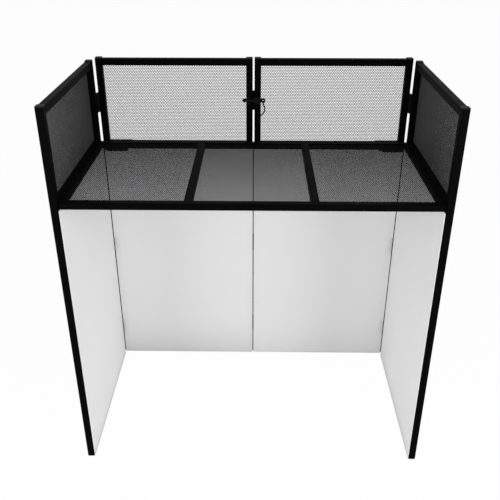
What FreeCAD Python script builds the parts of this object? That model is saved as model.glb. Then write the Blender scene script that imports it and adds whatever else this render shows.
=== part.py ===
import FreeCAD, Part
import math
import os
import re

# Folding booth of four hinged panels with a lift-off table.
# +X is the user's right, +Y points to the audience, +Z is up, and the origin is on the floor in the middle.
doc = FreeCAD.newDocument("dj_booth")
sheet = doc.addObject("Spreadsheet::Sheet", "Sizes")
# Driving dimensions, in millimetres
SIZES = {
    # Whole booth
    "booth_width": 1100,
    "booth_depth": 610,
    "post_top": 1193,
    # Welded frames of square tube
    "tube_side": 22,
    "tube_wall": 1.5,
    "tube_corner": 2,
    "foot_height": 4,
    "cap_height": 3.5,
    "plug_depth": 14,
    "plug_clearance": 0.2,
    "cap_chamfer": 1.5,
    "bottom_rail_height": 6,
    "window_height": 264,
    "centre_gap": 6,
    "corner_gap": 28,
    # Perforated sheets
    "sheet_thickness": 1.1,
    "sheet_setback": 2.2,
    "sheet_web": 10,
    # Scrims and their hook tape
    "tape_thickness": 1.5,
    "tape_width": 14,
    "tape_inset": 1,
    "scrim_thickness": 1.2,
    "scrim_height": 2,
    "scrim_return": 14,
    "seam_overlap": 2.6,
    "seam_reveal": 2,
    "corner_reveal": 2.6,
    "corner_tape_overlap": 8,
    "wing_scrim_overlap": 10,
    # Hinges
    "hinge_height": 64,
    "hinge_drop": 145,
    "hinge_middle": 500,
    "hinge_lower": 130,
    "hinge_clearance": 3,
    "barrel_diameter": 10,
    "hinge_pin_diameter": 5,
    "pin_head_diameter": 8,
    "pin_head_height": 1.5,
    "pin_clearance": 0.1,
    "knuckle_gap": 0.4,
    "leaf_thickness": 2.5,
    "leaf_width": 22,
    "centre_axis_offset": 6,
    "corner_axis_back": 9,
    "corner_axis_out": 1,
    "rivet_diameter": 4,
    "rivet_head_diameter": 8,
    "rivet_head_height": 1.8,
    "rivet_spacing": 40,
    "rivet_inset": 16,
    # Lock across the centre line
    "lock_drop": 136,
    "lock_offset": 8,
    "lock_diameter": 12,
    "lock_clearance": 0.16,
    "lock_neck_diameter": 9,
    "lock_neck_length": 2.5,
    "lock_tip_reach": 38,
    "lock_block_height": 24,
    "lock_post_margin": 1,
    "keeper_width": 12,
    "keeper_depth": 12,
    "lug_width": 20,
    "lug_depth": 16,
    "eye_reach": 33,
    "eye_diameter": 15,
    "eye_hole": 5,
    "eye_thickness": 7,
    "tang_diameter": 6,
    "tang_length": 4,
    "lanyard_diameter": 4.5,
    "clip_diameter": 6,
    "clip_length": 12,
    "clip_clearance": 0.6,
    # Table
    "cable_gap": 60,
    "table_clearance": 3.5,
    "table_tube_width": 23,
    "table_side_width": 12,
    "table_tube_height": 20,
    "table_sheet_drop": 2.5,
    "plate_thickness": 3,
    "plate_width": 80,
    "plate_bearing": 38,
    "plate_seat": 16,
    "plate_corner": 14,
    "ledge_reach": 18,
    "ledge_inset": 8,
}
for row, (alias, value) in enumerate(SIZES.items(), start=1):
    sheet.set(f"A{row}", alias)
    sheet.set(f"B{row}", str(value))
    sheet.setAlias(f"B{row}", alias)
doc.recompute()

# Places that several pieces share, written with the names above
MIDDLE_Y = "((booth_depth + centre_axis_offset + barrel_diameter / 2) / 2)"
WING_INNER = "(booth_width / 2 - tube_side)"
FRONT_INNER = "(booth_depth - tube_side)"
FRONT_LENGTH = f"({WING_INNER} - centre_gap / 2)"
WING_LENGTH = f"({FRONT_INNER} - corner_gap)"
TABLE_HALF = f"({WING_INNER} - table_clearance)"
TABLE_DEPTH = f"({FRONT_INNER} - cable_gap)"
PLATE_REACH = "(cable_gap + plate_bearing)"
FRONT_RAIL_TOP = "(post_top - tube_side - window_height)"
WING_RAIL_TOP = f"({FRONT_RAIL_TOP} + tube_side)"
TABLE_UNDER = f"({FRONT_RAIL_TOP} + plate_thickness)"
LOCK_Y = f"({FRONT_INNER} - lock_offset)"
LOCK_Z = "(post_top - lock_drop)"
POST_LENGTH = "(post_top - foot_height)"
HINGE_HEIGHTS = {"upper": "(post_top - hinge_drop)", "middle": "hinge_middle", "lower": "hinge_lower"}
FRONTS = ("front_left", "front_right")
WINGS = ("left_wing", "right_wing")
PANELS = FRONTS + WINGS
PANEL_LENGTH = {
    "front_left": FRONT_LENGTH,
    "front_right": FRONT_LENGTH,
    "left_wing": WING_LENGTH,
    "right_wing": WING_LENGTH,
}
RAIL_TOP = {
    "front_left": FRONT_RAIL_TOP,
    "front_right": FRONT_RAIL_TOP,
    "left_wing": WING_RAIL_TOP,
    "right_wing": WING_RAIL_TOP,
}
# Turns that lay an upright cylinder along an axis
LAY = {
    "x": FreeCAD.Rotation(FreeCAD.Vector(0, 1, 0), 90),
    "y": FreeCAD.Rotation(FreeCAD.Vector(1, 0, 0), -90),
    "z": FreeCAD.Rotation(),
}
# Openings along and across a window's sheet and a table field's sheet
WINDOW_OPENINGS = (12, 6)
FIELD_OPENINGS = (8, 12)
# The part of a run between two points of the lanyard's route that its bend takes up
BEND_SHARE = 0.45
sub_parts = []


def bind(target, prop, formula):
    """Tie a property to a formula whose words are names in the sheet."""
    target.setExpression(prop, re.sub(r"[a-z][a-z_]*", lambda word: "Sizes." + word.group(), formula))


def number(formula):
    """Work out a formula of the sheet's names as a plain number."""
    probe = doc.addObject("App::FeaturePython", "Probe")
    probe.addProperty("App::PropertyFloat", "Result")
    bind(probe, "Result", formula)
    probe.recompute()
    result = probe.Result
    doc.removeObject(probe.Name)
    return result


def place(target, x, y, z):
    """Bind a piece's place; y is given from the wings' near ends."""
    bind(target, "Placement.Base.x", x)
    bind(target, "Placement.Base.y", f"{y} - {MIDDLE_Y}")
    bind(target, "Placement.Base.z", z)


def block(name, x, y, z, dx, dy, dz):
    """A box from its lowest corner and its three lengths."""
    box = doc.addObject("Part::Box", name)
    bind(box, "Length", dx)
    bind(box, "Width", dy)
    bind(box, "Height", dz)
    place(box, x, y, z)
    return box


def rod(name, x, y, z, diameter, length, along):
    """A round bar that starts at a point and runs along an axis."""
    bar = doc.addObject("Part::Cylinder", name)
    bar.Placement = FreeCAD.Placement(FreeCAD.Vector(), LAY[along])
    bind(bar, "Radius", f"({diameter}) / 2")
    bind(bar, "Height", length)
    place(bar, x, y, z)
    return bar


def rounded(name, box, axis):
    """Round the four edges of a tube's outer box that run along an axis."""
    box.recompute()
    edges = box.Shape.Edges
    order = sorted(range(len(edges)), key=lambda index: getattr(edges[index].BoundBox, axis + "Length"))
    radius = float(sheet.get("tube_corner"))
    soft = doc.addObject("Part::Fillet", name)
    soft.Base = box
    soft.Edges = [(index + 1, radius, radius) for index in order[-4:]]
    return soft


def cut(name, base, tools):
    """Take the tools away from the base."""
    result = doc.addObject("Part::Cut", name)
    result.Base = base
    result.Tool = tools[0] if len(tools) == 1 else gather(name + "_tools", tools)
    return result


def join(name, pieces):
    """Make one solid of pieces that overlap."""
    result = doc.addObject("Part::MultiFuse", name)
    result.Shapes = pieces
    result.Refine = True
    return result


def gather(name, pieces):
    """Keep several separate solids together."""
    result = doc.addObject("Part::Compound", name)
    result.Links = pieces
    return result


def sub_part(label, pieces):
    """Register the finished solids of one node."""
    result = pieces[0] if len(pieces) == 1 else gather("Node", pieces)
    result.Label = label
    sub_parts.append(result)


def panel_block(panel, name, u, w, z, du, dw, dz):
    """A box on a panel: u runs along it, w from its inner face outwards.

    On a front panel u starts at the centre line, on a wing at the near end.
    """
    if panel == "front_left":
        return block(name, f"-centre_gap / 2 - ({u}) - ({du})", f"{FRONT_INNER} + ({w})", z, du, dw, dz)
    if panel == "front_right":
        return block(name, f"centre_gap / 2 + ({u})", f"{FRONT_INNER} + ({w})", z, du, dw, dz)
    if panel == "left_wing":
        return block(name, f"-{WING_INNER} - ({w}) - ({dw})", f"({u})", z, dw, du, dz)
    return block(name, f"{WING_INNER} + ({w})", f"({u})", z, dw, du, dz)


def panel_rod(panel, name, u, w, z, diameter, length, along):
    """A round bar on a panel that runs along u, along w or upwards."""
    run_u = length if along == "u" else "0"
    run_w = length if along == "w" else "0"
    if panel == "front_left":
        axis = {"u": "x", "w": "y", "z": "z"}[along]
        x = f"-centre_gap / 2 - ({u}) - ({run_u})"
        return rod(name, x, f"{FRONT_INNER} + ({w})", z, diameter, length, axis)
    if panel == "front_right":
        axis = {"u": "x", "w": "y", "z": "z"}[along]
        return rod(name, f"centre_gap / 2 + ({u})", f"{FRONT_INNER} + ({w})", z, diameter, length, axis)
    axis = {"u": "y", "w": "x", "z": "z"}[along]
    if panel == "left_wing":
        return rod(name, f"-{WING_INNER} - ({w}) - ({run_w})", f"({u})", z, diameter, length, axis)
    return rod(name, f"{WING_INNER} + ({w})", f"({u})", z, diameter, length, axis)


def panel_tube(panel, name, u, z, du, dz, along):
    """A square tube of a frame, as deep as the frame, hollow along u or upwards."""
    box = panel_block(panel, name + "_box", u, "0", z, du, "tube_side", dz)
    if along == "z":
        axis = "Z"
        bore_u = (f"{u} + tube_wall", f"{du} - 2 * tube_wall")
        bore_z = (f"{z} - tube_wall", f"{dz} + 2 * tube_wall")
    else:
        axis = "X" if panel in FRONTS else "Y"
        bore_u = (f"{u} - tube_wall", f"{du} + 2 * tube_wall")
        bore_z = (f"{z} + tube_wall", f"{dz} - 2 * tube_wall")
    bore = panel_block(panel, name + "_bore", bore_u[0], "tube_wall", bore_z[0],
                       bore_u[1], "tube_side - 2 * tube_wall", bore_z[1])
    return cut(name, rounded(name + "_outer", box, axis), [bore])


def rivet_heights():
    """The heights of the two rivets of each hinge leaf."""
    for height in HINGE_HEIGHTS.values():
        yield f"{height} - rivet_spacing / 2"
        yield f"{height} + rivet_spacing / 2"


def end_rivets(panel, name, start, diameter, length):
    """Round bars along u on the middle of a panel's hinged end face."""
    end = PANEL_LENGTH[panel]
    return [
        panel_rod(panel, name, f"{end} + {start}", "tube_side / 2", z, diameter, length, "u")
        for z in rivet_heights()
    ]


def outer_rivets(panel, name, start, diameter, length):
    """Round bars along w on the outer face of a front panel's centre post."""
    u = "rivet_inset - centre_gap / 2"
    return [
        panel_rod(panel, name, u, f"tube_side + {start}", z, diameter, length, "w")
        for z in rivet_heights()
    ]


def frame_posts(panel):
    """Two upright tubes, drilled where hinge leaves are riveted on."""
    length = PANEL_LENGTH[panel]
    first = panel_tube(panel, panel + "_first_post", "0", "foot_height", "tube_side", POST_LENGTH, "z")
    far_u = f"{length} - tube_side"
    second = panel_tube(panel, panel + "_second_post", far_u, "foot_height", "tube_side", POST_LENGTH, "z")
    second_holes = end_rivets(panel, "End_hole", "(-tube_wall)", "rivet_diameter", "tube_wall")
    second = cut(panel + "_second_drilled", second, second_holes)
    if panel in FRONTS:
        first_holes = outer_rivets(panel, "Outer_hole", "(-tube_wall)", "rivet_diameter", "tube_wall")
        first = cut(panel + "_first_drilled", first, first_holes)
    sub_part(panel + "_posts", [first, second])


def frame_rails(panel):
    """Top, middle and bottom tubes between the posts."""
    span = f"({PANEL_LENGTH[panel]} - 2 * tube_side)"
    heights = {
        "top": "post_top - tube_side",
        "middle": f"{RAIL_TOP[panel]} - tube_side",
        "bottom": "bottom_rail_height",
    }
    rails = [
        panel_tube(panel, f"{panel}_{place_name}_rail", "tube_side", z, span, "tube_side", "u")
        for place_name, z in heights.items()
    ]
    sub_part(panel + "_rails", rails)


def post_plug(panel, name, u, flange_z, stem_z, flange_height, rounded_end):
    """A moulded plug: a flange as wide as the tube, chamfered outside, and a stem in its bore."""
    box = panel_block(panel, name + "_box", u, "0", flange_z, "tube_side", "tube_side", flange_height)
    flange = rounded(name + "_flange", box, "Z")
    flange.recompute()
    edges = flange.Shape.Edges
    order = sorted(range(len(edges)), key=lambda index: edges[index].CenterOfMass.z)
    rim = order[-8:] if rounded_end == "top" else order[:8]
    chamfer = float(sheet.get("cap_chamfer"))
    soft = doc.addObject("Part::Chamfer", name + "_soft")
    soft.Base = flange
    soft.Edges = [(index + 1, chamfer, chamfer) for index in rim]
    inset = "(tube_wall + plug_clearance)"
    stem_side = f"tube_side - 2 * {inset}"
    stem_u = f"{u} + {inset}"
    stem = panel_block(panel, name + "_stem", stem_u, inset, stem_z, stem_side, stem_side, "plug_depth")
    return join(name, [soft, stem])


def post_caps_and_feet(panel):
    """Caps on the posts' tops and feet in their lower ends."""
    places = {"first": "0", "second": f"{PANEL_LENGTH[panel]} - tube_side"}
    caps = [
        post_plug(panel, f"{panel}_{name}_cap", u, "post_top", "post_top - plug_depth", "cap_height", "top")
        for name, u in places.items()
    ]
    sub_part(panel + "_caps", caps)
    feet = [
        post_plug(panel, f"{panel}_{name}_foot", u, "0", "foot_height", "foot_height", "bottom")
        for name, u in places.items()
    ]
    sub_part(panel + "_feet", feet)


def pierced_sheet(name, strip, along, across, openings):
    """A sheet with a plain grid of openings: strips both ways, each from two offsets and two lengths."""
    columns, rows = openings
    webs = []
    for index in range(columns + 1):
        start = f"{index} * ({along} - sheet_web) / {columns}"
        webs.append(strip(name + "_web", start, "0", "sheet_web", across))
    for index in range(rows + 1):
        start = f"{index} * ({across} - sheet_web) / {rows}"
        webs.append(strip(name + "_tie", "0", start, along, "sheet_web"))
    return join(name, webs)


def window_sheet(panel):
    """The perforated sheet in the window above the middle rail, near the outer face."""
    low = RAIL_TOP[panel]
    span = f"({PANEL_LENGTH[panel]} - 2 * tube_side)"
    tall = f"(post_top - tube_side - {low})"
    w = "tube_side - sheet_setback - sheet_thickness"

    def strip(name, along, up, wide, high):
        return panel_block(panel, name, f"tube_side + {along}", w, f"{low} + {up}", wide, "sheet_thickness",
                           high)

    sub_part(panel + "_mesh", [pierced_sheet(panel + "_sheet", strip, span, tall, WINDOW_OPENINGS)])


def hook_tape(panel):
    """Strips of hook tape: up the posts, along the bottom rail and under the middle rail."""
    length = PANEL_LENGTH[panel]
    under = f"({RAIL_TOP[panel]} - tube_side)"
    low = "(bottom_rail_height + tape_inset)"
    w = "-tape_thickness"
    strips = []
    upright_top = f"({under} - tape_thickness - scrim_thickness - tape_inset)"
    if panel in FRONTS:
        first_u = "-seam_overlap"
        first_du = "seam_overlap + tape_width"
        second_du = "corner_tape_overlap + tape_width"
        second_u = f"{length} - tape_width"
    else:
        first_u = "tape_inset"
        first_du = "tape_width"
        second_u = f"{length} - tape_inset - tape_width"
        second_du = "tape_width"
    tall = f"{upright_top} - {low}"
    first = panel_block(panel, panel + "_first_tape", first_u, w, low, first_du, "tape_thickness", tall)
    strips.append(first)
    if panel in FRONTS:
        # The strip at the corner stands past the post, so it stops short of each hinge leaf.
        half = "(hinge_height / 2 + hinge_clearance)"
        spans = [
            (low, f"hinge_lower - {half}"),
            (f"hinge_lower + {half}", f"hinge_middle - {half}"),
            (f"hinge_middle + {half}", upright_top),
        ]
    else:
        spans = [(low, upright_top)]
    for start, stop in spans:
        strip = panel_block(panel, panel + "_second_tape", second_u, w, start, second_du, "tape_thickness",
                            f"({stop}) - ({start})")
        strips.append(strip)
    bottom_u = f"({first_u}) + ({first_du}) + tape_inset"
    bottom_du = f"({second_u}) - tape_inset - ({bottom_u})"
    bottom = panel_block(panel, panel + "_low_tape", bottom_u, w, low, bottom_du, "tape_thickness",
                         "tape_width")
    strips.append(bottom)
    top_z = f"{under} - tape_thickness"
    strips.append(panel_block(panel, panel + "_top_tape", "tube_side", "0", top_z,
                              f"{length} - 2 * tube_side", "tape_width", "tape_thickness"))
    sub_part(panel + "_tape", strips)


def scrim(panel):
    """A stretched cloth on the tape, with its top edge turned under the middle rail."""
    length = PANEL_LENGTH[panel]
    top = f"({RAIL_TOP[panel]} - tube_side - tape_thickness)"
    before = "(seam_overlap - seam_reveal)" if panel in FRONTS else "0"
    after = "(-corner_reveal)" if panel in FRONTS else "wing_scrim_overlap"
    w = "-tape_thickness - scrim_thickness"
    face = panel_block(panel, panel + "_cloth", f"-{before}", w, "scrim_height",
                       f"{length} + {before} + {after}", "scrim_thickness", f"{top} - scrim_height")
    hem = panel_block(panel, panel + "_hem", "tube_side", w, f"{top} - scrim_thickness",
                      f"{length} - 2 * tube_side", "tape_thickness + scrim_thickness + scrim_return",
                      "scrim_thickness")
    sub_part(panel + "_scrim", [join(panel + "_scrim_solid", [face, hem])])


def knuckle_spans():
    """Lowest point of the bottom, middle and top knuckle, from the hinge's middle, and their length."""
    tall = "((hinge_height - 2 * knuckle_gap) / 3)"
    return tall, {
        "bottom": "(-hinge_height / 2)",
        "middle": f"(-{tall} / 2)",
        "top": f"({tall} / 2 + knuckle_gap)",
    }


def bored(name, pieces, panel, u, w, height):
    """Join a leaf to its knuckles and bore them for the pin."""
    solid = join(name + "_solid", pieces)
    bore = panel_rod(panel, name + "_bore", u, w, f"{height} - hinge_height",
                     "hinge_pin_diameter + pin_clearance", "2 * hinge_height", "z")
    return cut(name, solid, [bore])


def corner_front_leaves(panel):
    """Leaves on a front panel's end face, with the outer two knuckles of each corner hinge."""
    length = PANEL_LENGTH[panel]
    axis_u = f"{length} + corner_axis_out"
    tall, spans = knuckle_spans()
    holes = end_rivets(panel, panel + "_leaf_hole", "0", "rivet_diameter", "leaf_thickness")
    leaves = []
    for order, (level, height) in enumerate(HINGE_HEIGHTS.items()):
        name = f"{panel}_corner_leaf_{level}"
        pieces = [panel_block(panel, name + "_plate", length, "0", f"{height} - hinge_height / 2",
                              "leaf_thickness", "tube_side", "hinge_height")]
        for which in ("bottom", "top"):
            z = f"{height} + {spans[which]}"
            pieces.append(panel_block(panel, name + "_web", length, "-corner_axis_back", z,
                                      "leaf_thickness", "corner_axis_back", tall))
            pieces.append(panel_rod(panel, name + "_knuckle", axis_u, "-corner_axis_back", z,
                                    "barrel_diameter", tall, "z"))
        leaf = bored(name, pieces, panel, axis_u, "-corner_axis_back", height)
        leaves.append(cut(name + "_drilled", leaf, holes[2 * order:2 * order + 2]))
    sub_part(panel + "_corner_leaves", leaves)


def corner_wing_leaves(panel):
    """Leaves on a wing's end face, with the middle knuckle of each corner hinge."""
    length = PANEL_LENGTH[panel]
    axis_u = f"{length} + corner_gap - corner_axis_back"
    tall, spans = knuckle_spans()
    holes = end_rivets(panel, panel + "_leaf_hole", "0", "rivet_diameter", "leaf_thickness")
    leaves = []
    for order, (level, height) in enumerate(HINGE_HEIGHTS.items()):
        name = f"{panel}_leaf_{level}"
        z = f"{height} + {spans['middle']}"
        pieces = [
            panel_block(panel, name + "_plate", length, "0", f"{height} - hinge_height / 2",
                        "leaf_thickness", "tube_side", "hinge_height"),
            panel_block(panel, name + "_web", length, "corner_axis_out - leaf_thickness / 2", z,
                        "corner_gap - corner_axis_back", "leaf_thickness", tall),
            panel_rod(panel, name + "_knuckle", axis_u, "corner_axis_out", z, "barrel_diameter", tall, "z"),
        ]
        leaf = bored(name, pieces, panel, axis_u, "corner_axis_out", height)
        leaves.append(cut(name + "_drilled", leaf, holes[2 * order:2 * order + 2]))
    sub_part(panel + "_leaves", leaves)


def centre_leaves(panel, knuckles):
    """Leaves on the outer face of a front panel's centre post, with their knuckles on the centre line."""
    axis_u = "-centre_gap / 2"
    axis_w = "tube_side + centre_axis_offset"
    tall, spans = knuckle_spans()
    holes = outer_rivets(panel, panel + "_centre_hole", "0", "rivet_diameter", "leaf_thickness")
    plate_u = "barrel_diameter / 2 + pin_head_height - centre_gap / 2"
    leaves = []
    for order, (level, height) in enumerate(HINGE_HEIGHTS.items()):
        name = f"{panel}_centre_leaf_{level}"
        pieces = [panel_block(panel, name + "_plate", plate_u, "tube_side", f"{height} - hinge_height / 2",
                              "leaf_width - barrel_diameter / 2", "leaf_thickness", "hinge_height")]
        for which in knuckles:
            z = f"{height} + {spans[which]}"
            pieces.append(panel_block(panel, name + "_web", axis_u, "tube_side", z,
                                      f"{plate_u} + centre_gap / 2 + leaf_thickness", "leaf_thickness", tall))
            knuckle = panel_rod(panel, name + "_knuckle", axis_u, axis_w, z, "barrel_diameter", tall, "z")
            pieces.append(knuckle)
        leaf = bored(name, pieces, panel, axis_u, axis_w, height)
        leaves.append(cut(name + "_drilled", leaf, holes[2 * order:2 * order + 2]))
    sub_part(panel + "_centre_leaves", leaves)


def hinge_pins(label, panel, u, w):
    """Headed pins, one in each hinge of a line."""
    pins = []
    for level, height in HINGE_HEIGHTS.items():
        name = f"{label}_{level}"
        shank = panel_rod(panel, name + "_shank", u, w, f"{height} - hinge_height / 2", "hinge_pin_diameter",
                          "hinge_height", "z")
        head = panel_rod(panel, name + "_head", u, w, f"{height} + hinge_height / 2", "pin_head_diameter",
                         "pin_head_height", "z")
        pins.append(join(name, [shank, head]))
    sub_part(label, pins)


def leaf_rivets(panel):
    """Rivets through the hinge leaves and the tube walls behind them."""
    shank = "tube_wall + leaf_thickness"
    shanks = end_rivets(panel, panel + "_shank", "(-tube_wall)", "rivet_diameter", shank)
    heads = end_rivets(panel, panel + "_head", "leaf_thickness", "rivet_head_diameter", "rivet_head_height")
    if panel in FRONTS:
        shanks += outer_rivets(panel, panel + "_shank", "(-tube_wall)", "rivet_diameter", shank)
        heads += outer_rivets(panel, panel + "_head", "leaf_thickness", "rivet_head_diameter",
                              "rivet_head_height")
    rivets = [join(panel + "_rivet", [shank, head]) for shank, head in zip(shanks, heads)]
    sub_part(panel + "_rivets", rivets)


def lock_keeper():
    """A saddle on the left centre post, open towards the user, in which the pin's end lies."""
    x = "(-centre_gap / 2 - tube_side + lock_post_margin)"
    low = f"{LOCK_Z} - lock_block_height / 2"
    body = block("Keeper_body", x, f"{FRONT_INNER} - keeper_depth", low, "keeper_width", "keeper_depth",
                 "lock_block_height")
    bore = rod("Keeper_bore", f"{x} - tube_wall", LOCK_Y, LOCK_Z, "lock_diameter + lock_clearance",
               "keeper_width + 2 * tube_wall", "x")
    slot = block("Keeper_slot", f"{x} - tube_wall", f"{FRONT_INNER} - 2 * keeper_depth",
                 f"{LOCK_Z} - (lock_diameter + lock_clearance) / 2", "keeper_width + 2 * tube_wall",
                 "2 * keeper_depth - lock_offset", "lock_diameter + lock_clearance")
    sub_part("lock_keeper", [cut("Keeper", body, [join("Keeper_mouth", [bore, slot])])])


def lock_lug():
    """A block on the right centre post that guides the pin in a closed bore."""
    x = "(centre_gap / 2 + lock_post_margin)"
    low = f"{LOCK_Z} - lock_block_height / 2"
    body = block("Lug_body", x, f"{FRONT_INNER} - lug_depth", low, "lug_width", "lug_depth",
                 "lock_block_height")
    bore = rod("Lug_bore", f"{x} - tube_wall", LOCK_Y, LOCK_Z, "lock_diameter + lock_clearance",
               "lug_width + 2 * tube_wall", "x")
    sub_part("lock_lug", [cut("Lug", body, [bore])])


def lock_pin():
    """A round pin with a necked, domed tip on the left and a flat eye with a tang on the right."""
    neck_x = "(-lock_tip_reach + lock_diameter)"
    tip = doc.addObject("Part::Sphere", "Pin_tip")
    bind(tip, "Radius", "lock_diameter / 2")
    place(tip, "-lock_tip_reach + lock_diameter / 2", LOCK_Y, LOCK_Z)
    collar = rod("Pin_collar", "-lock_tip_reach + lock_diameter / 2", LOCK_Y, LOCK_Z, "lock_diameter",
                 "lock_diameter / 2", "x")
    neck = rod("Pin_neck", f"{neck_x} - lock_neck_length / 2", LOCK_Y, LOCK_Z, "lock_neck_diameter",
               "2 * lock_neck_length", "x")
    shaft = rod("Pin_shaft", f"{neck_x} + lock_neck_length", LOCK_Y, LOCK_Z, "lock_diameter",
                f"eye_reach - (eye_diameter + eye_hole) / 4 - lock_neck_length - {neck_x}", "x")
    eye = rod("Pin_eye", "eye_reach", f"{LOCK_Y} - eye_thickness / 2", LOCK_Z, "eye_diameter",
              "eye_thickness", "y")
    tang = rod("Pin_tang", "eye_reach", LOCK_Y, f"{LOCK_Z} - eye_diameter / 2 - tang_length",
               "tang_diameter", "tang_length + (eye_diameter - eye_hole) / 4", "z")
    solid = join("Pin_solid", [tip, collar, neck, shaft, eye, tang])
    hole = rod("Pin_hole", "eye_reach", f"{LOCK_Y} - lock_diameter", LOCK_Z, "eye_hole",
               "2 * lock_diameter", "y")
    sub_part("lock_pin", [cut("Pin", solid, [hole])])


# The lanyard's route from the pin's tang down to its clip: x, then the distance in front of the front
# panels' inner face, then the distance below the lock pin's axis.
LANYARD_ROUTE = [
    (33.0, 8.0, 11.5),
    (37.0, 10.5, 20.5),
    (38.5, 17.0, 29.5),
    (34.3, 22.8, 38.2),
    (27.0, 22.0, 46.5),
    (20.5, 14.0, 53.5),
    (18.0, 7.0, 62.0),
    (18.0, 5.0, 71.5),
]


def lanyard_points():
    """The route's points in the booth's frame."""
    inner = number(f"{FRONT_INNER} - {MIDDLE_Y}")
    height = number(LOCK_Z)
    return [FreeCAD.Vector(x, inner - front, height - drop) for x, front, drop in LANYARD_ROUTE]


def lanyard():
    """A short coated cord, as a tube of straight runs joined by tangent arcs."""
    points = lanyard_points()
    radius = number("lanyard_diameter") / 2
    edges = []
    start = points[0]
    length = 0.0
    radii = []
    for before, corner, after in zip(points, points[1:], points[2:]):
        into = corner - before
        out = after - corner
        turn = into.getAngle(out)
        reach = BEND_SHARE * min(into.Length, out.Length)
        into.normalize()
        out.normalize()
        first = corner - into * reach
        last = corner + out * reach
        bend = reach / math.tan(turn / 2)
        radii.append(round(bend, 1))
        inward = out - into
        inward.normalize()
        centre = corner + inward * (bend ** 2 + reach ** 2) ** 0.5
        middle = centre - inward * bend
        edges.append(Part.LineSegment(start, first).toShape())
        edges.append(Part.Arc(first, middle, last).toShape())
        length += (first - start).Length + bend * turn
        start = last
    edges.append(Part.LineSegment(start, points[-1]).toShape())
    length += (points[-1] - start).Length
    path = Part.Wire(edges)
    ring = Part.Wire(Part.Circle(points[0], points[1] - points[0], radius).toShape())
    piece = doc.addObject("Part::Feature", "Lanyard")
    piece.Shape = path.makePipeShell([ring], True, True)
    section = math.pi * radius ** 2
    print("lanyard length", round(length, 1), "bend radii", radii)
    print("lanyard volume over section times length", round(piece.Shape.Volume / (section * length), 4))
    sub_part("lock_lanyard", [piece])


def lanyard_clip():
    """A small barrel on a plate on the right centre post, which holds the lanyard's end."""
    last_x, last_front, last_drop = LANYARD_ROUTE[-1]
    y = f"{FRONT_INNER} - {last_front}"
    low = f"{LOCK_Z} - {last_drop} - clip_clearance - clip_length"
    barrel = rod("Clip_barrel", f"{last_x}", y, low, "clip_diameter", "clip_length", "z")
    plate = block("Clip_plate", f"{last_x} - clip_diameter / 2", y, low, "clip_diameter", f"{last_front}",
                  "clip_length")
    sub_part("lanyard_clip", [join("Clip", [barrel, plate])])


def table_tube(name, x, y, dx, dy, along):
    """A rectangular tube of the table, hollow along x or along y."""
    z = TABLE_UNDER
    box = block(name + "_box", x, y, z, dx, dy, "table_tube_height")
    bore_z = f"{z} + tube_wall"
    bore_tall = "table_tube_height - 2 * tube_wall"
    if along == "x":
        bore = block(name + "_bore", f"{x} - tube_wall", f"{y} + tube_wall", bore_z, f"{dx} + 2 * tube_wall",
                     f"{dy} - 2 * tube_wall", bore_tall)
    else:
        bore = block(name + "_bore", f"{x} + tube_wall", f"{y} - tube_wall", bore_z, f"{dx} - 2 * tube_wall",
                     f"{dy} + 2 * tube_wall", bore_tall)
    return cut(name, rounded(name + "_outer", box, along.upper()), [bore])


TABLE_SPAN = f"({TABLE_DEPTH} - 2 * table_tube_width)"
FIELD_WIDTH = f"((2 * {TABLE_HALF} - 2 * table_side_width - 2 * table_tube_width) / 3)"


def table_frame():
    """Long rails across the table, narrow side rails between them and two cross bars at the thirds."""
    long_rails = [
        table_tube("Near_rail", f"-{TABLE_HALF}", "0", f"2 * {TABLE_HALF}", "table_tube_width", "x"),
        table_tube("Far_rail", f"-{TABLE_HALF}", f"{TABLE_DEPTH} - table_tube_width", f"2 * {TABLE_HALF}",
                   "table_tube_width", "x"),
    ]
    sub_part("table_long_rails", long_rails)
    side_rails = [
        table_tube("Left_rail", f"-{TABLE_HALF}", "table_tube_width", "table_side_width", TABLE_SPAN, "y"),
        table_tube("Right_rail", f"{TABLE_HALF} - table_side_width", "table_tube_width", "table_side_width",
                   TABLE_SPAN, "y"),
    ]
    sub_part("table_side_rails", side_rails)
    cross_bars = [
        table_tube("Left_bar", f"-{FIELD_WIDTH} / 2 - table_tube_width", "table_tube_width",
                   "table_tube_width", TABLE_SPAN, "y"),
        table_tube("Right_bar", f"{FIELD_WIDTH} / 2", "table_tube_width", "table_tube_width", TABLE_SPAN,
                   "y"),
    ]
    sub_part("table_cross_bars", cross_bars)


def table_sheet(field, step):
    """One field of perforated sheet, a little below the rails' tops; step counts fields from the middle."""
    x = f"{step} * ({FIELD_WIDTH} + table_tube_width) - {FIELD_WIDTH} / 2"
    z = f"{TABLE_UNDER} + table_tube_height - table_sheet_drop - sheet_thickness"

    def strip(name, along, back, wide, deep):
        return block(name, f"{x} + {along}", f"table_tube_width + {back}", z, wide, deep, "sheet_thickness")

    piece = pierced_sheet(f"Table_{field}_sheet", strip, FIELD_WIDTH, TABLE_SPAN, FIELD_OPENINGS)
    sub_part(f"table_mesh_{field}", [piece])


def support_plate(panel):
    """A plate welded on a front panel's middle rail that reaches under the table's far corner.

    The two plates are alike, each with the near corner on the user's left cut off.
    """
    side = "left" if panel == "front_left" else "right"
    start = f"{PANEL_LENGTH[panel]} - tube_side - plate_width"
    plate = panel_block(panel, side + "_plate_body", start, f"-{PLATE_REACH}", FRONT_RAIL_TOP, "plate_width",
                        f"{PLATE_REACH} + plate_seat", "plate_thickness")
    plate.recompute()
    edges = plate.Shape.Edges
    middles = [edge.CenterOfMass for edge in edges]
    free = min(range(len(edges)), key=lambda index: middles[index].x + middles[index].y)
    setback = float(sheet.get("plate_corner"))
    corner = doc.addObject("Part::Chamfer", side + "_plate_corner")
    corner.Base = plate
    corner.Edges = [(free + 1, setback, setback)]
    sub_part(side + "_support_plate", [corner])


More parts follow.
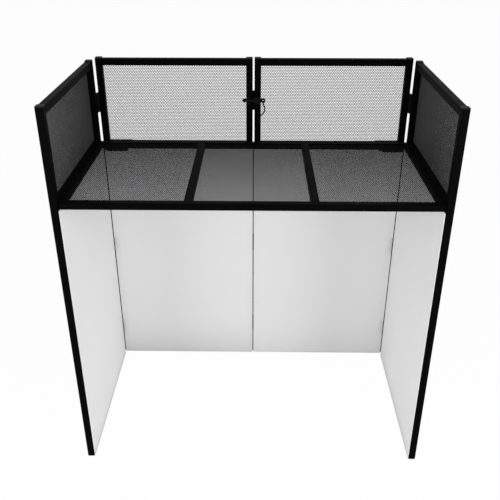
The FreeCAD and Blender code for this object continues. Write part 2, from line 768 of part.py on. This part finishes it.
def near_ledge(panel):
    """A tab welded on a wing's near post, level with the support plates, under the table's near corner."""
    tab = panel_block(panel, panel + "_tab", "ledge_inset", "-ledge_reach", FRONT_RAIL_TOP,
                      "tube_side - ledge_inset", "ledge_reach", "plate_thickness")
    sub_part(panel + "_ledge", [tab])


for panel_name in PANELS:
    frame_posts(panel_name)
    frame_rails(panel_name)
    post_caps_and_feet(panel_name)
    window_sheet(panel_name)
    hook_tape(panel_name)
    scrim(panel_name)
    leaf_rivets(panel_name)
for panel_name in FRONTS:
    corner_front_leaves(panel_name)
    hinge_pins(panel_name + "_corner_pins", panel_name, f"{PANEL_LENGTH[panel_name]} + corner_axis_out",
               "-corner_axis_back")
    support_plate(panel_name)
for panel_name in WINGS:
    corner_wing_leaves(panel_name)
    near_ledge(panel_name)
centre_leaves("front_left", ("bottom", "top"))
centre_leaves("front_right", ("middle",))
hinge_pins("centre_pins", "front_left", "-centre_gap / 2", "tube_side + centre_axis_offset")
lock_keeper()
lock_lug()
lock_pin()
lanyard()
lanyard_clip()
table_frame()
for field_name, field_step in (("left", "(-1)"), ("centre", "0"), ("right", "1")):
    table_sheet(field_name, field_step)
doc.recompute()

for item in doc.Objects:
    if "Invalid" in item.State or "Error" in item.State:
        raise RuntimeError(f"{item.Name} failed: {item.State}")
for item in sub_parts:
    if item.Shape.isNull() or not item.Shape.isValid():
        raise RuntimeError(f"{item.Label} has no valid shape")

os.makedirs("parts", exist_ok=True)
for item in sub_parts:
    item.Shape.exportStep(f"parts/{item.Label}.step")
print(len(sub_parts), "sub-parts written")
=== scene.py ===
import math

import bpy
from mathutils import Matrix, Vector


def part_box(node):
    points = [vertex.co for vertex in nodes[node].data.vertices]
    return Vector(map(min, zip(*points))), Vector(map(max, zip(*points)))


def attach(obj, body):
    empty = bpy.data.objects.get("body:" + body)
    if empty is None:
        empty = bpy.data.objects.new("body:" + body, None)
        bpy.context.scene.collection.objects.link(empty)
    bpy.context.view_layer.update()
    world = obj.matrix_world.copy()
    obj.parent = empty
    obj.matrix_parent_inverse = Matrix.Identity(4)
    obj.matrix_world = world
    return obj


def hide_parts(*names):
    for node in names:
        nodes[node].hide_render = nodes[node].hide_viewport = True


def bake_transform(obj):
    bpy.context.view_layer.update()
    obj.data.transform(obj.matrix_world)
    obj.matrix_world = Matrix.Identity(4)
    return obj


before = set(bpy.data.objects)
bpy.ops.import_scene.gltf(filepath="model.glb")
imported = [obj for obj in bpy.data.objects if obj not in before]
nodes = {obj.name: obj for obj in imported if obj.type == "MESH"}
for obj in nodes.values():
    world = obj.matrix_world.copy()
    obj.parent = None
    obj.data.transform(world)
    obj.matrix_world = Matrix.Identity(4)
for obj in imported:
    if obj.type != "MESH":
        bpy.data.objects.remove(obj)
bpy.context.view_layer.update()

# Welded frames of the four panels, the table's rails, the support plates and the ledges.
# They are square and rectangular steel tube and flat bar, blasted and powder coated satin black.
# The coat has a fine orange peel and turns a little greyer where hands and cases rub it.


class Wire:
    """An output of a material's nodes that can be reckoned with like a number."""

    def __init__(self, finish, socket):
        self.finish = finish
        self.socket = socket

    def reckon(self, operation, first, second=0.0):
        return self.finish.node("ShaderNodeMath", {"operation": operation}, {0: first, 1: second})

    def __add__(self, other):
        return self.reckon("ADD", self, other)

    def __radd__(self, other):
        return self.reckon("ADD", other, self)

    def __sub__(self, other):
        return self.reckon("SUBTRACT", self, other)

    def __rsub__(self, other):
        return self.reckon("SUBTRACT", other, self)

    def __mul__(self, other):
        return self.reckon("MULTIPLY", self, other)

    def __rmul__(self, other):
        return self.reckon("MULTIPLY", other, self)

    def sine(self):
        return self.reckon("SINE", self)


class Finish:
    """A material of one surface, built node by node around a Principled shader."""

    def __init__(self, name):
        self.material = bpy.data.materials.new(name)
        self.material.use_nodes = True
        self.tree = self.material.node_tree
        self.shader = self.tree.nodes["Principled BSDF"]

    def node(self, kind, settings, sockets, out=0):
        made = self.tree.nodes.new(kind)
        for name, value in settings.items():
            if name == "stops":
                ramp = made.color_ramp
                while len(ramp.elements) < len(value):
                    ramp.elements.new(1.0)
                for element, (place, colour) in zip(ramp.elements, value):
                    element.position = place
                    element.color = colour
            else:
                setattr(made, name, value)
        for name, value in sockets.items():
            self.feed(made.inputs[name], value)
        return Wire(self, made.outputs[out])

    def feed(self, socket, value):
        if isinstance(value, Wire):
            self.tree.links.new(value.socket, socket)
        else:
            socket.default_value = value

    def place(self):
        return self.node("ShaderNodeTexCoord", {}, {}, "Object")

    def noise(self, scale, detail=2.0):
        sockets = {"Vector": self.place(), "Scale": scale, "Detail": detail}
        return self.node("ShaderNodeTexNoise", {}, sockets, "Fac")

    def between(self, share, first, second):
        stops = [(0.0, first + (1.0,)), (1.0, second + (1.0,))]
        return self.node("ShaderNodeValToRGB", {"stops": stops}, {"Fac": share}, "Color")

    def bump(self, height, distance, strength):
        sockets = {"Height": height, "Distance": distance, "Strength": strength}
        return self.node("ShaderNodeBump", {}, sockets, "Normal")

    def shade(self, **inputs):
        for name, value in inputs.items():
            self.feed(self.shader.inputs[name.replace("_", " ")], value)
        return self.material


RUBBED_SCALE = 11.0
PEEL_SCALE = 1300.0
PEEL_DEPTH = 0.00015
PEEL_STRENGTH = 0.25
PEEL_SHARE = 0.3


def coated_steel(name, deep, rubbed, smooth, rough, gloss):
    """Powder coat between two shades and two roughnesses."""
    coat = Finish(name)
    cloud = coat.noise(RUBBED_SCALE, 3.0)
    peel = coat.noise(PEEL_SCALE)
    return coat.shade(
        Base_Color=coat.between(cloud * (1 - PEEL_SHARE) + peel * PEEL_SHARE, deep, rubbed),
        Roughness=smooth + (rough - smooth) * cloud,
        Specular_IOR_Level=gloss,
        Normal=coat.bump(peel, PEEL_DEPTH, PEEL_STRENGTH),
    )


def dress(node, material):
    """Give a carried-over solid its finish."""
    mesh = nodes[node].data
    mesh.materials.clear()
    mesh.materials.append(material)


PANELS = ("front_left", "front_right", "left_wing", "right_wing")
frame_coat = coated_steel(
    "frame_powder_coat", (0.0004, 0.0004, 0.00045), (0.0015, 0.0015, 0.0016), 0.42, 0.58, 0.014
)
for panel in PANELS:
    dress(panel + "_posts", frame_coat)
    dress(panel + "_rails", frame_coat)
for node in ("left_support_plate", "right_support_plate", "left_wing_ledge", "right_wing_ledge"):
    dress(node, frame_coat)
for node in ("table_long_rails", "table_side_rails", "table_cross_bars"):
    dress(node, frame_coat)

# Caps on the posts' tops.
# They are moulded plugs of black polyethylene with a fine spark-eroded grain, pressed into the tubes.

SPARK_GRAIN_SCALE = 2600.0
SPARK_GRAIN_DEPTH = 0.0001
plug_plastic = Finish("plug_plastic")
grain = plug_plastic.noise(SPARK_GRAIN_SCALE)
plug_plastic.shade(
    Base_Color=plug_plastic.between(grain, (0.003, 0.003, 0.003), (0.007, 0.007, 0.007)),
    Roughness=0.5 + 0.14 * grain,
    Specular_IOR_Level=0.1,
    Normal=plug_plastic.bump(grain, SPARK_GRAIN_DEPTH, 0.4),
)
for panel in PANELS:
    dress(panel + "_caps", plug_plastic.material)

# Feet in the posts' lower ends.
# They are domed pads of the same polyethylene, whose stems are pressed into the tubes.

FOOT_HEIGHT = 0.004
FOOT_ROUND = 0.0034
FOOT_ROUND_STEPS = 4


def only(piece):
    """Leave one object selected and active."""
    bpy.ops.object.select_all(action="DESELECT")
    piece.select_set(True)
    bpy.context.view_layer.objects.active = piece


def domed_pad(name, x, y, side):
    """A pad as wide as the tube, rounded at its sides and its underside."""
    bpy.ops.object.select_all(action="DESELECT")
    bpy.ops.mesh.primitive_cube_add(size=1.0, location=(x, y, FOOT_HEIGHT / 2))
    pad = bpy.context.object
    pad.name = name
    pad.scale = (side, side, FOOT_HEIGHT)
    bpy.ops.object.transform_apply(location=True, rotation=True, scale=True)
    for edge in pad.data.edges:
        edge.select = any(pad.data.vertices[end].co.z < FOOT_HEIGHT / 2 for end in edge.vertices)
    bpy.ops.object.mode_set(mode="EDIT")
    bpy.ops.mesh.select_mode(type="EDGE")
    bpy.ops.mesh.bevel(offset=FOOT_ROUND, segments=FOOT_ROUND_STEPS, affect="EDGES")
    bpy.ops.object.mode_set(mode="OBJECT")
    bpy.ops.object.shade_smooth_by_angle()
    return pad


for panel in PANELS:
    low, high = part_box(panel + "_feet")
    side = min(high.x - low.x, high.y - low.y)
    feet = domed_pad(panel + "_domed_feet", low.x + side / 2, low.y + side / 2, side)
    second = domed_pad(panel + "_second_foot", high.x - side / 2, high.y - side / 2, side)
    only(feet)
    second.select_set(True)
    bpy.ops.object.join()
    feet.data.materials.clear()
    feet.data.materials.append(plug_plastic.material)
    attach(feet, panel)
    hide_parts(panel + "_feet")

# Perforated sheets in the panels' windows and in the table's three fields.
# They are thin steel with round holes in staggered rows, sheared to size through the holes,
# welded into the frames. The windows' sheets are coated a flat dark grey, the table's sheets black.

HOLE_PITCH = 0.0058
HOLE_DIAMETER = {"front": 0.00463, "wing": 0.0042, "table": 0.00502}
HOLE_SIDES = {"front": 8, "wing": 8, "table": 6}
HOLE_TURN = {"front": math.pi / 8, "wing": math.pi / 8, "table": 0.0}
SAME_POINT = HOLE_PITCH / 100
window_coat = coated_steel(
    "window_powder_coat", (0.022, 0.022, 0.023), (0.031, 0.031, 0.032), 0.45, 0.6, 0.08
)
table_coat = coated_steel(
    "table_powder_coat", (0.0006, 0.0006, 0.00065), (0.002, 0.002, 0.0021), 0.45, 0.6, 0.018
)
SHEET_COAT = {"front": window_coat, "wing": window_coat, "table": table_coat}


def finish_with(piece, kind, **settings):
    """Add a modifier to a piece and apply it."""
    only(piece)
    modifier = piece.modifiers.new(kind.title(), kind)
    for name, value in settings.items():
        setattr(modifier, name, value)
    bpy.ops.object.modifier_apply(modifier=modifier.name)


def keep_inside(piece, half_width, half_height):
    """Shear a flat sheet to its rectangle about the origin."""
    only(piece)
    bpy.ops.object.mode_set(mode="EDIT")
    for point, normal in (
        ((half_width, 0, 0), (1, 0, 0)),
        ((-half_width, 0, 0), (-1, 0, 0)),
        ((0, half_height, 0), (0, 1, 0)),
        ((0, -half_height, 0), (0, -1, 0)),
    ):
        bpy.ops.mesh.select_all(action="SELECT")
        bpy.ops.mesh.bisect(plane_co=point, plane_no=normal, clear_outer=True)
    bpy.ops.object.mode_set(mode="OBJECT")


def perforated_sheet(kind, width, height, thickness):
    """A flat perforated sheet about the origin, with its rows along X."""
    row_step = HOLE_PITCH * math.sqrt(3) / 2
    columns = int(width / HOLE_PITCH) + 3
    row_pairs = int(height / (2 * row_step)) + 2
    # A polygon with the same open area as the round hole
    sides = HOLE_SIDES[kind]
    rim = HOLE_DIAMETER[kind] / 2 * math.sqrt(2 * math.pi / (sides * math.sin(2 * math.pi / sides)))
    bpy.ops.object.select_all(action="DESELECT")
    bpy.ops.mesh.primitive_circle_add(vertices=sides, radius=rim, rotation=(0, 0, HOLE_TURN[kind]))
    cell = bpy.context.object
    cell.name = "perforated_" + kind
    bpy.ops.object.transform_apply(location=True, rotation=True, scale=True)
    bpy.ops.object.mode_set(mode="EDIT")
    bpy.ops.mesh.select_all(action="DESELECT")
    bpy.ops.mesh.primitive_circle_add(vertices=6, radius=HOLE_PITCH / math.sqrt(3))
    bpy.ops.mesh.select_all(action="SELECT")
    bpy.ops.mesh.bridge_edge_loops()
    bpy.ops.object.mode_set(mode="OBJECT")
    step = {"use_relative_offset": False, "use_constant_offset": True, "use_merge_vertices": True}
    step["merge_threshold"] = SAME_POINT
    finish_with(cell, "ARRAY", count=columns, constant_offset_displace=(HOLE_PITCH, 0, 0), **step)
    finish_with(cell, "ARRAY", count=2, constant_offset_displace=(HOLE_PITCH / 2, row_step, 0), **step)
    finish_with(cell, "ARRAY", count=row_pairs, constant_offset_displace=(0, 2 * row_step, 0), **step)
    bpy.ops.object.mode_set(mode="EDIT")
    bpy.ops.mesh.select_all(action="SELECT")
    bpy.ops.mesh.remove_doubles(threshold=SAME_POINT)
    bpy.ops.object.mode_set(mode="OBJECT")
    cell.location = (-columns * HOLE_PITCH / 2, -row_pairs * row_step, 0)
    bpy.ops.object.transform_apply(location=True, rotation=True, scale=True)
    keep_inside(cell, width / 2, height / 2)
    finish_with(cell, "SOLIDIFY", thickness=thickness, offset=0.0, use_even_offset=False)
    cell.data.materials.clear()
    cell.data.materials.append(SHEET_COAT[kind])
    return cell


def copy_of(piece, name):
    """A copy of a piece with a mesh of its own."""
    twin = piece.copy()
    twin.data = piece.data.copy()
    twin.name = name
    bpy.context.scene.collection.objects.link(twin)
    return twin


def stand(piece, turn, middle):
    """Turn a flat piece into its plane and move it to its middle, in its mesh."""
    only(piece)
    piece.rotation_euler = turn
    piece.location = middle
    bpy.ops.object.transform_apply(location=True, rotation=True, scale=True)


UPRIGHT_TURN = {"front": (math.pi / 2, 0, 0), "wing": (math.pi / 2, 0, math.pi / 2), "table": (0, 0, 0)}
SHEETS = (
    ("front", "front_left_mesh", "front_left"),
    ("front", "front_right_mesh", "front_right"),
    ("wing", "left_wing_mesh", "left_wing"),
    ("wing", "right_wing_mesh", "right_wing"),
    ("table", "table_mesh_left", "table"),
    ("table", "table_mesh_centre", "table"),
    ("table", "table_mesh_right", "table"),
)
patterns = {}
for kind, node, body in SHEETS:
    low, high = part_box(node)
    span = high - low
    across = {"front": (span.x, span.z), "wing": (span.y, span.z), "table": (span.x, span.y)}[kind]
    if kind not in patterns:
        patterns[kind] = perforated_sheet(kind, *across, min(span))
    piece = copy_of(patterns[kind], node.replace("mesh", "perforated"))
    stand(piece, UPRIGHT_TURN[kind], (low + high) / 2)
    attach(piece, body)
    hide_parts(node)
for pattern in patterns.values():
    bpy.data.objects.remove(pattern)

# Hook tape on the frames' inner faces, which holds the scrims.
# It is woven nylon tape with rows of small hooks, glued and stitched down in strips.

HOOKS_PER_METRE = 620.0
HOOK_DEPTH = 0.0006
TAPE_ROUND = 0.0004
SAME_PLACE = 0.00001
tape_weave = Finish("hook_tape_weave")
sockets = {0: tape_weave.place(), "Scale": HOOKS_PER_METRE}
spread = tape_weave.node("ShaderNodeVectorMath", {"operation": "SCALE"}, sockets)
hooks = tape_weave.node("ShaderNodeTexVoronoi", {}, {"Vector": spread, "Scale": 1.0}, "Distance")
tape_weave.shade(
    Base_Color=tape_weave.between(hooks, (0.009, 0.009, 0.009), (0.003, 0.003, 0.003)),
    Roughness=0.78 + 0.15 * hooks,
    Specular_IOR_Level=0.1,
    Normal=tape_weave.bump(1 - hooks, HOOK_DEPTH, 0.7),
)
for panel in PANELS:
    tape = copy_of(nodes[panel + "_tape"], panel + "_hook_tape")
    for key in list(tape.keys()):
        del tape[key]
    tape.parent = None
    only(tape)
    bpy.ops.object.mode_set(mode="EDIT")
    bpy.ops.mesh.select_all(action="SELECT")
    bpy.ops.mesh.remove_doubles(threshold=SAME_PLACE)
    bpy.ops.mesh.tris_convert_to_quads()
    bpy.ops.object.mode_set(mode="OBJECT")
    finish_with(tape, "BEVEL", width=TAPE_ROUND, segments=2)
    tape.data.materials.clear()
    tape.data.materials.append(tape_weave.material)
    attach(tape, panel)
    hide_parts(panel + "_tape")

# Scrims over the lower part of each panel.
# They are white stretch knit, hemmed at the sides, bound along the foot, pressed on the hook tape
# and turned under the middle rails along the top. Painted shade darkens the foot and the binding, and
# lies in soft patches over the cloth.

CLOTH_THICKNESS = 0.0006
HEM_WIDTH = 0.022
FOOT_BINDING = 0.006
HEM_LIFT = 0.0005
TURNED_EDGE_INSET = 0.02
CLOTH_GRID = (24, 40)
KNIT_PITCH = 0.0011
KNIT_DEPTH = 0.00012
KNIT_WHITENESS = 0.86
LOOP_SHARE = 0.035
FOLD_SHADE_SCALE = 3.2
FOLD_SHADE_SHARE = 0.085
FUZZ_SCALE = 900.0
# How high and how strongly painted shade darkens each scrim's foot
PAINTED_FOOT_SHADE = {
    "front_left": (0.2, 0.42),
    "front_right": (0.2, 0.2),
    "left_wing": (0.05, 0.5),
    "right_wing": (0.05, 0.5),
}


def white_knit(name, panel, deep, bright):
    """Stretch knit between two whites, with its loops, a little fuzz, soft patches of painted shade and
    painted shade darkening its foot.
    """
    foot_shade_height, foot_shade_share = PAINTED_FOOT_SHADE[panel]
    knit = Finish(name)
    split = knit.node("ShaderNodeSeparateXYZ", {}, {0: knit.place()}, "X")
    along = split + Wire(knit, split.socket.node.outputs["Y"])
    upward = Wire(knit, split.socket.node.outputs["Z"])
    loop_turns = 2 * math.pi / KNIT_PITCH
    loops = (along * loop_turns).sine() * (upward * loop_turns).sine()
    # Painted shade: large soft patches, lighter and darker, stand in for the shading of soft folds in the
    # cloth.
    fold_shade = knit.noise(FOLD_SHADE_SCALE, 2.0)
    fuzz = knit.noise(FUZZ_SCALE)
    # Painted shade: the white falls off towards the foot, over each panel's given height and by its given
    # share.
    foot_shade_range = {"Value": upward, "From Max": foot_shade_height, "To Min": 1.0, "To Max": 0.0}
    painted_foot_shade = knit.node("ShaderNodeMapRange", {}, foot_shade_range, "Result")
    white = KNIT_WHITENESS + LOOP_SHARE * loops + FOLD_SHADE_SHARE * (fold_shade - 0.5)
    white = white - foot_shade_share * painted_foot_shade * painted_foot_shade
    return knit.shade(
        Base_Color=knit.between(white, deep, bright),
        Roughness=0.8 + 0.1 * fuzz,
        Sheen_Weight=0.15,
        Normal=knit.bump(loops + 0.5 * fuzz, KNIT_DEPTH, 0.5),
    )


KNIT_WHITES = (
    ("_cloth", (0.46, 0.46, 0.465), (0.79, 0.79, 0.795)),
    ("_hem", (0.45, 0.45, 0.455), (0.775, 0.775, 0.78)),
    # The foot binding is a real strip. Its darker whites are painted shade along the foot.
    ("_foot_binding", (0.44, 0.44, 0.445), (0.74, 0.74, 0.745)),
)


def scrim(panel):
    """A hemmed cloth about the origin, facing +Z, with its top edge turned away from the user."""
    low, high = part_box(panel + "_scrim")
    span = high - low
    wing = panel.endswith("wing")
    width = span.y if wing else span.x
    turned = span.x if wing else span.y
    bpy.ops.object.select_all(action="DESELECT")
    columns, rows = CLOTH_GRID
    bpy.ops.mesh.primitive_grid_add(x_subdivisions=columns, y_subdivisions=rows, size=1.0)
    cloth = bpy.context.object
    cloth.name = panel + "_stretched_scrim"
    cloth.scale = (width, span.z, 1.0)
    bpy.ops.object.transform_apply(location=True, rotation=True, scale=True)
    bpy.ops.object.mode_set(mode="EDIT")
    for point, normal in (
        ((width / 2 - HEM_WIDTH, 0, 0), (1, 0, 0)),
        ((HEM_WIDTH - width / 2, 0, 0), (1, 0, 0)),
        ((0, FOOT_BINDING - span.z / 2, 0), (0, 1, 0)),
    ):
        bpy.ops.mesh.select_all(action="SELECT")
        bpy.ops.mesh.bisect(plane_co=point, plane_no=normal)
    bpy.ops.mesh.select_all(action="DESELECT")
    bpy.ops.object.mode_set(mode="OBJECT")
    for edge in cloth.data.edges:
        ends = [cloth.data.vertices[index].co for index in edge.vertices]
        at_top = all(abs(end.y - span.z / 2) < SAME_PLACE for end in ends)
        edge.select = at_top and all(abs(end.x) < width / 2 - TURNED_EDGE_INSET for end in ends)
    bpy.ops.object.mode_set(mode="EDIT")
    bpy.ops.mesh.select_mode(type="EDGE")
    bpy.ops.mesh.extrude_region_move(TRANSFORM_OT_translate={"value": (0, 0, -turned + CLOTH_THICKNESS)})
    bpy.ops.mesh.select_mode(type="FACE")
    bpy.ops.mesh.select_all(action="DESELECT")
    bpy.ops.object.mode_set(mode="OBJECT")
    finish_with(cloth, "SOLIDIFY", thickness=CLOTH_THICKNESS, offset=-1.0)
    for face in cloth.data.polygons:
        side = abs(face.center.x) > width / 2 - HEM_WIDTH
        foot = face.center.y < FOOT_BINDING - span.z / 2
        face.select = (side or foot) and face.normal.z > 0.9
    bpy.ops.object.mode_set(mode="EDIT")
    bpy.ops.mesh.extrude_region_shrink_fatten(TRANSFORM_OT_shrink_fatten={"value": HEM_LIFT})
    bpy.ops.object.mode_set(mode="OBJECT")
    cloth.data.materials.clear()
    for part, deep, bright in KNIT_WHITES:
        cloth.data.materials.append(white_knit(panel + part, panel, deep, bright))
    for face in cloth.data.polygons:
        foot = face.center.y < FOOT_BINDING - span.z / 2
        face.material_index = 2 if foot else int(face.select)
    # The hems' faces lie where the solid's inner face does
    middle = (low + high) / 2
    facing = 0.0
    if panel == "left_wing":
        facing = math.pi / 2
        middle.x = high.x - HEM_LIFT
    elif panel == "right_wing":
        facing = -math.pi / 2
        middle.x = low.x + HEM_LIFT
    else:
        middle.y = low.y + HEM_LIFT
    stand(cloth, (math.pi / 2, 0, facing), middle)
    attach(cloth, panel)
    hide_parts(panel + "_scrim")


for panel in PANELS:
    scrim(panel)

# Hinges on the three fold lines.
# Each has two rolled steel leaves with knuckles, riveted to the posts, and a headed pin.
# Leaves, pins and rivets are coated black.

hinge_coat = coated_steel("hinge_black", (0.002, 0.002, 0.002), (0.004, 0.004, 0.004), 0.35, 0.5, 0.04)
rivet_coat = coated_steel("rivet_black", (0.003, 0.003, 0.003), (0.006, 0.006, 0.006), 0.3, 0.45, 0.06)
for node in nodes:
    if node.endswith(("_leaves", "_pins")):
        dress(node, hinge_coat)
    elif node.endswith("_rivets"):
        dress(node, rivet_coat)

# Lock across the centre line: a keeper, a lug, a sliding pin with an eye, and the lanyard's clip.
# They are turned and milled steel, chemically blackened and oiled. Keeper, lug and clip are fixed
# to the posts, and the pin slides in the lug.

lock_black = coated_steel("lock_black", (0.002, 0.002, 0.0022), (0.004, 0.004, 0.004), 0.28, 0.42, 0.05)
for node in ("lock_keeper", "lock_lug", "lock_pin", "lanyard_clip"):
    dress(node, lock_black)

# Lanyard from the lock pin's tang to the clip on the right post.
# It is a short braided cord of black polyester, which hangs in one loose curve.

LANYARD_DIAMETER = 0.0045
FRONT_INNER = 0.2775
LOCK_HEIGHT = 1.057
LANYARD_ROUTE = (
    (0.0330, 0.0080, 0.0115),
    (0.0370, 0.0105, 0.0205),
    (0.0385, 0.0170, 0.0295),
    (0.0343, 0.0228, 0.0382),
    (0.0270, 0.0220, 0.0465),
    (0.0205, 0.0140, 0.0535),
    (0.0180, 0.0070, 0.0620),
    (0.0180, 0.0050, 0.0715),
)
route = [Vector((x, FRONT_INNER - front, LOCK_HEIGHT - drop)) for x, front, drop in LANYARD_ROUTE]
line = bpy.data.curves.new("lanyard_line", "CURVE")
line.dimensions = "3D"
spline = line.splines.new("NURBS")
spline.points.add(len(route) - 1)
for point, place in zip(spline.points, route):
    point.co = (*place, 1.0)
spline.order_u = 3
spline.use_endpoint_u = True
spline.resolution_u = 10
lanyard = bpy.data.objects.new("lock_lanyard_cord", line)
bpy.context.scene.collection.objects.link(lanyard)
bpy.context.view_layer.update()
trace = bpy.data.meshes.new_from_object(lanyard)
bpy.data.meshes.remove(trace)
line.bevel_depth = LANYARD_DIAMETER / 2
line.bevel_resolution = 4
line.use_fill_caps = True
only(lanyard)
bpy.ops.object.convert(target="MESH")
bpy.ops.object.shade_smooth()
BRAID_TURNS_ROUND = 6
BRAID_TURNS_ALONG = 60
BRAID_DEPTH = 0.0003
braid = Finish("lanyard_braid")
around = braid.node("ShaderNodeSeparateXYZ", {}, {0: braid.node("ShaderNodeTexCoord", {}, {}, "UV")}, "X")
length_way = Wire(braid, around.socket.node.outputs["Y"])
along_turns = around * (2 * math.pi * BRAID_TURNS_ALONG)
round_turns = length_way * (2 * math.pi * BRAID_TURNS_ROUND)
right_strands = (along_turns + round_turns).sine()
left_strands = (along_turns - round_turns).sine()
strands = 0.5 + 0.5 * (right_strands * left_strands)
braid.shade(
    Base_Color=braid.between(strands, (0.001, 0.001, 0.001), (0.004, 0.004, 0.004)),
    Roughness=0.75 - 0.15 * strands,
    Specular_IOR_Level=0.06,
    Normal=braid.bump(strands, BRAID_DEPTH, 0.6),
)
lanyard.data.materials.clear()
lanyard.data.materials.append(braid.material)
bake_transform(lanyard)
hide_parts("lock_lanyard")

# Studio: a white floor, a white surround, three soft lamps, and the camera at standing eye height.
# Seen directly the floor and the surround are white, and the floor keeps a faint shadow.

FLOOR_SIDE = 40.0
bpy.ops.object.select_all(action="DESELECT")
bpy.ops.mesh.primitive_plane_add(size=FLOOR_SIDE)
floor = bpy.context.object
floor.name = "floor"
paper = Finish("floor_paper")
paper.shade(Base_Color=(0.8, 0.8, 0.8, 1.0), Roughness=0.9)
glow = paper.node("ShaderNodeEmission", {}, {"Color": (1.0, 1.0, 1.0, 1.0), "Strength": 1.0})


def seen_directly(finish):
    """Camera, glossy and transmission rays."""
    rays = finish.node("ShaderNodeLightPath", {}, {}, "Is Camera Ray")
    outputs = rays.socket.node.outputs
    return rays + Wire(finish, outputs["Is Glossy Ray"]) + Wire(finish, outputs["Is Transmission Ray"])


DIRECT_WHITE = 0.975
blend_shader = paper.node("ShaderNodeMixShader", {}, {
    "Fac": seen_directly(paper) * DIRECT_WHITE,
    1: Wire(paper, paper.shader.outputs["BSDF"]),
    2: glow,
})
paper.tree.links.new(blend_shader.socket, paper.tree.nodes["Material Output"].inputs["Surface"])
floor.data.materials.append(paper.material)

WORLD_LIGHT = 0.22
world = bpy.data.worlds.new("surround")
bpy.context.scene.world = world
world.use_nodes = True


class Surround(Finish):
    """The world's background, built with the same methods as a material."""

    def __init__(self, tree):
        self.tree = tree


surround = Surround(world.node_tree)
background = world.node_tree.nodes["Background"]
background.inputs["Color"].default_value = (1.0, 1.0, 1.0, 1.0)
surround.feed(background.inputs["Strength"], WORLD_LIGHT + (1.0 - WORLD_LIGHT) * seen_directly(surround))

LAMP_SPREAD = 1.3


def soft_lamp(name, place, target, side, power):
    """A wide lamp that faces a point."""
    light = bpy.data.lights.new(name, "AREA")
    light.shape = "RECTANGLE"
    light.size = side * LAMP_SPREAD
    light.size_y = side
    light.energy = power
    lamp = bpy.data.objects.new(name, light)
    lamp.location = place
    lamp.rotation_euler = (Vector(target) - Vector(place)).to_track_quat("-Z", "Y").to_euler()
    bpy.context.scene.collection.objects.link(lamp)


BOOTH_MIDDLE = (0.0, 0.0, 0.5)
soft_lamp("key_lamp", (2.45, -2.25, 1.1), BOOTH_MIDDLE, 2.0, 94.0)
soft_lamp("fill_lamp", (-2.45, -2.25, 1.1), BOOTH_MIDDLE, 2.0, 82.0)
soft_lamp("front_lamp", (0.2, -3.0, 1.1), BOOTH_MIDDLE, 1.2, 11.0)

PICTURE_PIXELS = 500
FOCAL_PIXELS = 657.69
SENSOR = 36.0
CAMERA_PLACE = (0.0182, -1.9391, 1.6537)
PITCH = 0.48746
YAW = -0.01359
ROLL = 0.00035
forward = Vector((math.sin(YAW) * math.cos(PITCH), math.cos(YAW) * math.cos(PITCH), -math.sin(PITCH)))
right = Vector((math.cos(YAW), -math.sin(YAW), 0.0))
up = right.cross(forward)
rolled_right = math.cos(ROLL) * right + math.sin(ROLL) * up
rolled_up = math.cos(ROLL) * up - math.sin(ROLL) * right
lens = bpy.data.cameras.new("camera")
lens.sensor_width = SENSOR
lens.lens = FOCAL_PIXELS / PICTURE_PIXELS * SENSOR
camera = bpy.data.objects.new("camera", lens)
aim = Matrix((rolled_right, rolled_up, -forward)).transposed().to_4x4()
camera.matrix_world = Matrix.Translation(CAMERA_PLACE) @ aim
bpy.context.scene.collection.objects.link(camera)
bpy.context.scene.camera = camera
bpy.context.scene.view_settings.view_transform = "Standard"
